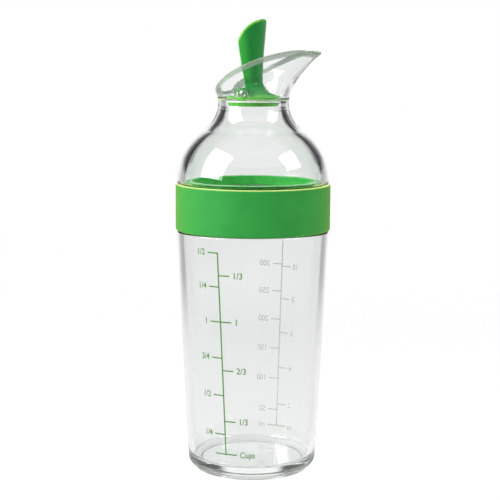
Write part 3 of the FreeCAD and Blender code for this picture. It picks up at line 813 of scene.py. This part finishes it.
def fill_height(volume):
    """Height that a volume of liquid reaches in the cone, whose cubes of radius differ by the volume."""
    start = (FILL_RADIUS + FILL_LEAN * FILL_START) ** 3
    return float((np.cbrt(start + 3 * FILL_LEAN * volume / np.pi) - FILL_RADIUS) / FILL_LEAN)


def wall_radius(z):
    """Outer radius of the tapered side at a height: it grows evenly from the base to the shoulder."""
    lean = (SHOULDER_RADIUS - BASE_RADIUS) / (SHOULDER_HEIGHT - BASE_HEIGHT)
    return BASE_RADIUS + lean * (z - BASE_HEIGHT)


def ink_bar(start, end, width):
    """A flat bar of ink between two places (turn, height): a four-cornered section along a path."""
    start, end = np.array(start), np.array(end)
    path = start + (end - start) * np.linspace(0, 1, BAR_STEPS)[:, None]
    along = (end - start) / (TURN_PER_MM, 1)
    left = np.array([-along[1] * TURN_PER_MM, along[0]]) / np.hypot(*along) * width / 2
    side = np.array([1, 1, -1, -1])[:, None] * left
    rise = np.array([INK_LOW, INK_HIGH, INK_HIGH, INK_LOW])
    ring = path[:, None] + side
    corners = np.concatenate([ring, np.broadcast_to(rise[:, None], (BAR_STEPS, 4, 1))], 2).reshape(-1, 3)
    last = 4 * (BAR_STEPS - 1)
    return corners, ring_faces(BAR_STEPS, 4) + [(3, 2, 1, 0), (last, last + 1, last + 2, last + 3)]


def ink_label(text, turn, z, align):
    """A printed word or number as a thin plate, squeezed in width, with its middle at a height."""
    letters = bpy.data.curves.new("label", "FONT")
    letters.body = text
    letters.size = LABEL_SIZE
    letters.align_x = align
    letters.align_y = "CENTER"
    letters.resolution_u = LABEL_STEPS
    letters.offset = LABEL_WEIGHT
    letters.extrude = (INK_HIGH - INK_LOW) / 2
    holder = bpy.data.objects.new("label", letters)
    mesh = bpy.data.meshes.new_from_object(holder)
    flat = np.empty(len(mesh.vertices) * 3)
    mesh.vertices.foreach_get("co", flat)
    corner = np.empty(len(mesh.loops), int)
    mesh.loops.foreach_get("vertex_index", corner)
    first = np.empty(len(mesh.polygons), int)
    mesh.polygons.foreach_get("loop_start", first)
    bpy.data.meshes.remove(mesh)
    bpy.data.objects.remove(holder)
    bpy.data.curves.remove(letters)
    points, place = np.unique(flat.reshape(-1, 3).round(WELD_DIGITS), axis=0, return_inverse=True)
    faces = [face.tolist() for face in np.split(place.reshape(-1)[corner], first[1:])]
    scaled = points * (LABEL_SQUEEZE * TURN_PER_MM, 1, 1)
    return scaled + (turn, z, (INK_HIGH + INK_LOW) / 2), faces


def join(parts):
    """Points and faces of several parts as one: the corners of each count on from those before it."""
    points = np.concatenate([part[0] for part in parts])
    counts = np.cumsum([0] + [len(part[0]) for part in parts]).tolist()
    faces = []
    for count, (_, part_faces) in zip(counts, parts):
        faces += [[count + corner for corner in face] for face in part_faces]
    return points, faces


def marks(unit, step, numbers):
    """Marks of one side of a scale, volume and word: the unit at its foot, then a number for each step."""
    return [(0, unit)] + [(step * count, number) for count, number in enumerate(numbers, 1)]


def make_scale(name, line, sides, material, raised=0):
    """One printed scale wrapped on the tapered wall: a line, and ticks with words to both sides of it.

    Every point (turn, height, rise) goes to the wall's radius at that height plus the rise, at that turn.
    """
    (top_turn, top), (foot_turn, foot) = line
    ink = [ink_bar((foot_turn, foot), (top_turn, top), LINE_WIDTH)]
    for side, side_marks in sides.items():
        align = "LEFT" if side > 0 else "RIGHT"
        for volume, word in side_marks:
            z = fill_height(volume) + raised if volume else foot
            turn = foot_turn + (top_turn - foot_turn) * (z - foot) / (top - foot)
            outward = side * math.degrees(1 / wall_radius(z))
            tip = turn + outward * TICK_LENGTH
            ink.append(ink_bar((min(turn, tip), z), (max(turn, tip), z), TICK_WIDTH))
            if word:
                ink.append(ink_label(word, tip + outward * LABEL_GAP, z, align))
    points, faces = join(ink)
    turns, heights, rises = points.T
    wrapped = round_axis(wall_radius(heights) + rises, heights, np.radians(turns))
    scale = mesh_piece(name, wrapped, faces, material)
    scale.data.shade_flat()
    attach(scale, "bottle")


def make_scales(cup_ink, metric_ink):
    """Cups on the front of the bottle, and millilitres and ounces on its back."""
    cups = {-1: marks("", QUARTER_CUP, QUARTERS), 1: marks("Cups", THIRD_CUP, THIRDS)}
    make_scale("cup_scale", FRONT_LINE, cups, cup_ink)
    metric = {1: marks("ml", FIFTY_MILLILITRES, MILLILITRES), -1: marks("oz", TWO_OUNCES, OUNCES)}
    make_scale("metric_scale", REAR_LINE, metric, metric_ink, REAR_RAISE)


# Light bounces that the walls of clear plastic inside each other need
MOST_BOUNCES = 32
GLOSSY_BOUNCES = 16


def main():
    """Sets up the studio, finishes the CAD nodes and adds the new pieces."""
    make_camera()
    make_world()
    make_floor()
    for box in SOFT_BOXES:
        soft_box(box)
    green = green_plastic("green_plastic")
    finishes = {
        "lid_shell": clear_plastic("lid_plastic", True),
        "grip_band": green_rubber("grip_rubber"),
        "pour_lever": green,
        "seal_retainer": green,
        "stopper_seal": silicone("pale_silicone", SEAL_PALE, SEAL_DEEP, SEAL_ROUGH)}
    for name, material in finishes.items():
        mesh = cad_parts[name].data
        mesh.materials.clear()
        mesh.materials.append(material)
    make_bottle(clear_plastic("clear_plastic"))
    make_gasket(silicone("gasket_silicone", GASKET_PALE, GASKET_DEEP, GASKET_ROUGH))
    make_pin(pin_steel("pin_steel"))
    green_ink = scale_ink("green_ink", CUP_INK, CUP_INK_FAINT, CUP_COVER)
    thin_ink = scale_ink("thin_ink", METRIC_INK, METRIC_INK_FAINT, METRIC_COVER)
    make_scales(green_ink, thin_ink)
    scene = bpy.context.scene
    scene.cycles.max_bounces = MOST_BOUNCES
    scene.cycles.transmission_bounces = MOST_BOUNCES
    scene.cycles.glossy_bounces = GLOSSY_BOUNCES
    scene.view_settings.view_transform = "Standard"


main()
